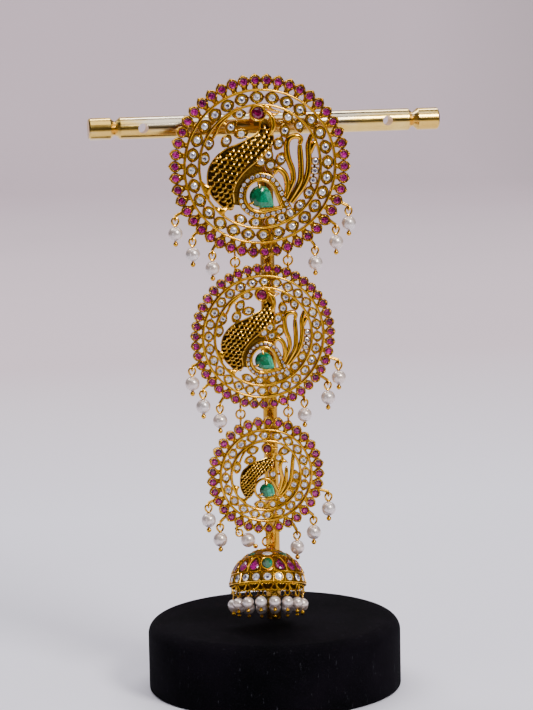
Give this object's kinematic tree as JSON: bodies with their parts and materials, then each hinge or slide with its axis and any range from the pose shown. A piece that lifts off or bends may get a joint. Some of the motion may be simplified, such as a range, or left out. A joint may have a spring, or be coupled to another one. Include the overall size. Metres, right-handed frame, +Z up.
{
  "type": "jadanagam braid ornament on a t-bar display stand",
  "caption": "Hair braid ornament of three linked pierced peacock medallions with pearl drops and a bell drop, hung on a T-bar stand with a round base.",
  "frame": {"origin": "centre of the stand's underside", "axes": "+Z up along the stand's post, +X to the right along the cross bar, -Y towards the viewer; the medallions face -Y"},
  "size_m": [0.121, 0.088, 0.2141],
  "materials": {
    "gold": "antique gold plating, oxidised in the recesses",
    "plated_stand": "bright polished pale gold plating, worn to silver along the front",
    "velvet": "short black velvet",
    "ruby": "cut and polished",
    "emerald": "cut and polished",
    "white_stone": "cut and polished",
    "pearl": "cream pearl lustre"
  },
  "bodies": {
    "stand": {"stand_base": "velvet", "stand_post": "plated_stand", "stand_bar": "plated_stand", "back_hook": "gold", "large_medallion": "gold", "large_rubies": "ruby", "large_white_stones": "white_stone", "large_head_ruby": "ruby", "large_emerald": "emerald", "large_pearls": "pearl", "large_pearl_pins": "gold", "upper_link_left": "gold", "upper_link_right": "gold"},
    "middle": {"middle_medallion": "gold", "middle_rubies": "ruby", "middle_white_stones": "white_stone", "middle_head_ruby": "ruby", "middle_emerald": "emerald", "middle_pearls": "pearl", "middle_pearl_pins": "gold", "lower_link_left": "gold", "lower_link_right": "gold"},
    "small": {"small_medallion": "gold", "small_rubies": "ruby", "small_head_ruby": "ruby", "small_emerald": "emerald", "small_pearls": "pearl", "small_pearl_pins": "gold"},
    "drop_ring": {"drop_ring": "gold"},
    "jhumka": {"jhumka_dome": "gold", "jhumka_white_stones": "white_stone", "jhumka_fringe": "gold", "jhumka_pearls": "pearl"}
  },
  "joints": [
    {"name": "middle_swing", "type": "hinge", "parent": "stand", "child": "middle", "pos_m": [-0.004, -0.011, 0.14912], "axis": [-1, 0, 0], "range_deg": [0, 90]},
    {"name": "small_swing", "type": "hinge", "parent": "middle", "child": "small", "pos_m": [-0.004, -0.011, 0.09692], "axis": [-1, 0, 0], "range_deg": [0, 90]},
    {"name": "drop_ring_swing", "type": "hinge", "parent": "small", "child": "drop_ring", "pos_m": [-0.004, -0.011, 0.05363], "axis": [0, 1, 0], "range_deg": [-4, 4]},
    {"name": "jhumka_swing", "type": "hinge", "parent": "drop_ring", "child": "jhumka", "pos_m": [-0.004, -0.011, 0.05208], "axis": [-1, 0, 0], "range_deg": [0, 50]}
  ]
}
